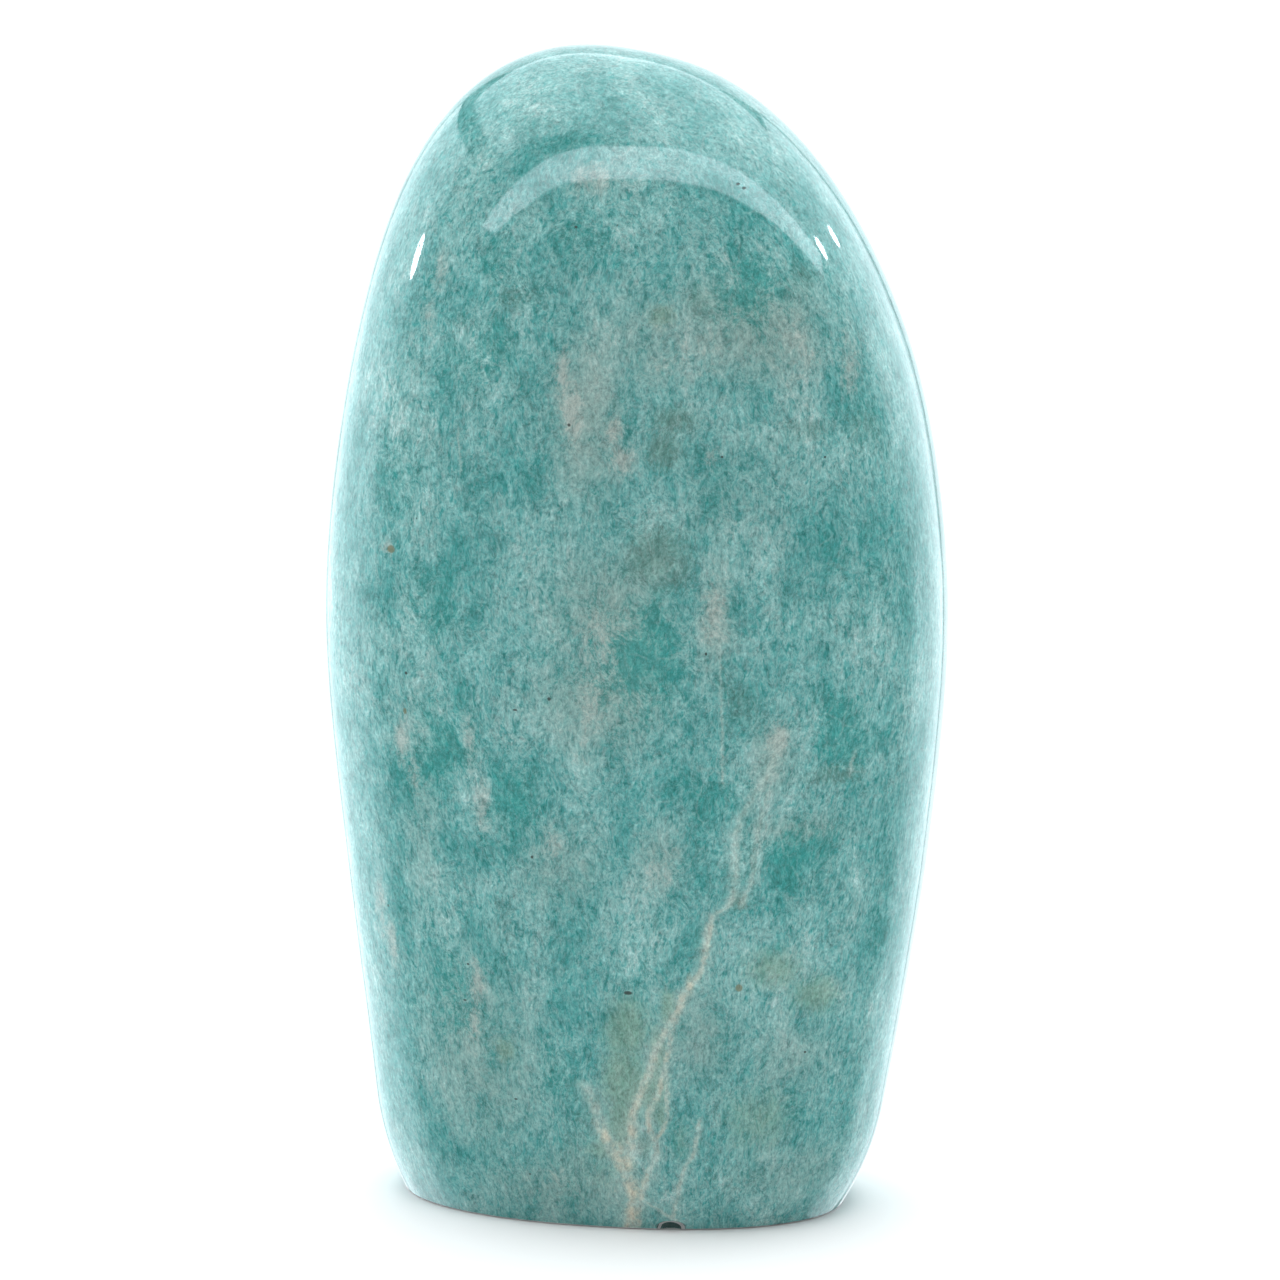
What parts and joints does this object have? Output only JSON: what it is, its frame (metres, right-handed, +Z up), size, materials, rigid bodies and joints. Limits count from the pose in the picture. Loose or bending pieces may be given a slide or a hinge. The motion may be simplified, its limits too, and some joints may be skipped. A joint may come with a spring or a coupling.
{
  "type": "polished amazonite freeform standing stone",
  "caption": "Upright hand-shaped and polished amazonite stone with a domed, slightly tilted crown and a flat cut base to stand it on a shelf.",
  "frame": {"origin": "on the surface that the stone stands on, under the middle of its bounding box", "axes": "+Z up from the flat cut base to the domed crown, the broad face looks along -Y, +X to the right of someone facing it"},
  "size_m": [0.0788, 0.052, 0.148],
  "materials": {
    "polished_amazonite": "polished to a wet-looking gloss"
  },
  "bodies": {
    "root": {"amazonite_stone": "polished_amazonite"}
  },
  "joints": []
}
